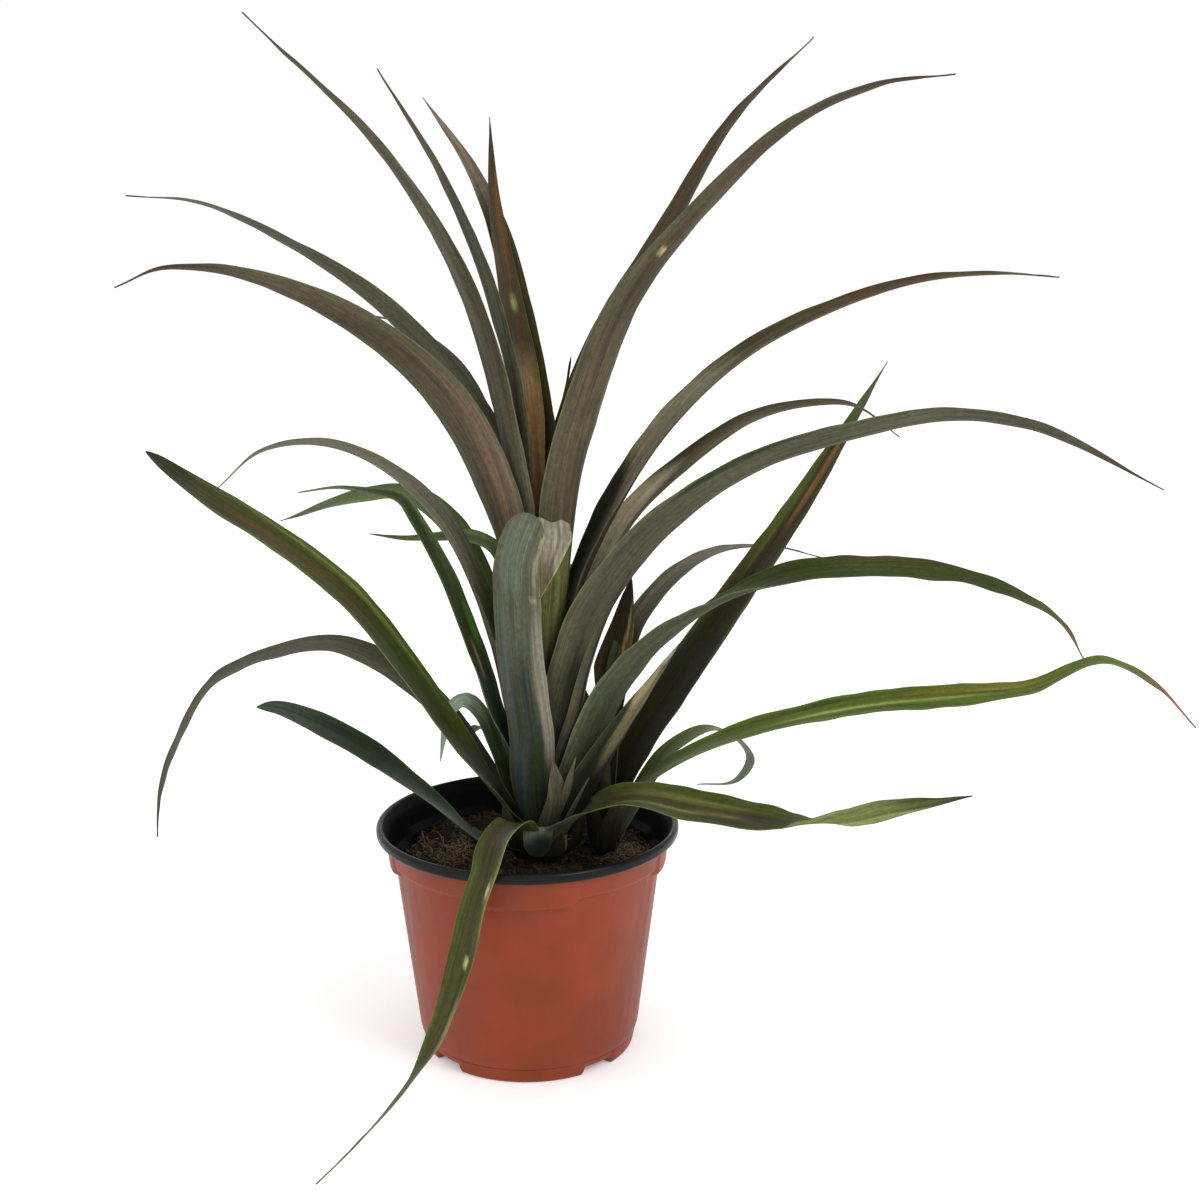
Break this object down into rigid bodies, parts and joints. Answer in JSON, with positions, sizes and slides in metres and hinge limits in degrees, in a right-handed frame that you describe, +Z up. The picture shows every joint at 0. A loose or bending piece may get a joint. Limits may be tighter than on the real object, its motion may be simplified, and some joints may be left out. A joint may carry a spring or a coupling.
{
  "type": "potted pineapple plant",
  "caption": "Young pineapple plant with long arching strap leaves on a tall main shoot and a short side shoot, growing in a round terracotta-coloured nursery pot.",
  "frame": {"origin": "middle of the pot's flat underside", "axes": "+Z up out of the pot, +Y away from the viewer of the picture, +X to the viewer's right; the two shoots lean apart along X"},
  "size_m": [0.5837, 0.328, 0.5593],
  "materials": {
    "pot_plastic": "satin terracotta-coloured thermoformed plastic, black inside and on the lip",
    "potting_mix": "loose dark peat with bark chips, fibres and white grit",
    "stem": "matt green-brown stem tissue with leaf scars",
    "leaf": "leathery dark green leaf, greyer underneath, with fine lengthwise veins and dry brown tips"
  },
  "bodies": {
    "root": {"pot": "pot_plastic", "potting_mix": "potting_mix", "main_stem": "stem", "side_stem": "stem", "main_leaf_01": "leaf", "main_leaf_02": "leaf", "main_leaf_03": "leaf", "main_leaf_04": "leaf", "main_leaf_05": "leaf", "main_leaf_06": "leaf", "main_leaf_07": "leaf", "main_leaf_08": "leaf", "main_leaf_09": "leaf", "main_leaf_10": "leaf", "main_leaf_11": "leaf", "main_leaf_12": "leaf", "main_leaf_13": "leaf", "main_leaf_14": "leaf", "main_leaf_15": "leaf", "main_leaf_16": "leaf", "main_leaf_17": "leaf", "main_leaf_18": "leaf", "main_leaf_19": "leaf", "main_leaf_20": "leaf", "main_leaf_21": "leaf", "main_leaf_22": "leaf", "main_leaf_23": "leaf", "main_leaf_24": "leaf", "main_leaf_33": "leaf", "main_leaf_34": "leaf", "main_leaf_35": "leaf", "main_leaf_25": "leaf", "main_leaf_26": "leaf", "main_leaf_27": "leaf", "main_leaf_28": "leaf", "main_leaf_29": "leaf", "main_leaf_30": "leaf", "main_leaf_31": "leaf", "main_leaf_32": "leaf", "main_leaf_36": "leaf", "main_leaf_37": "leaf", "main_leaf_38": "leaf", "main_leaf_39": "leaf", "main_leaf_40": "leaf", "side_leaf_01": "leaf", "side_leaf_02": "leaf", "side_leaf_03": "leaf", "side_leaf_04": "leaf", "side_leaf_05": "leaf", "side_leaf_06": "leaf", "side_leaf_07": "leaf", "side_leaf_08": "leaf"}
  },
  "joints": []
}
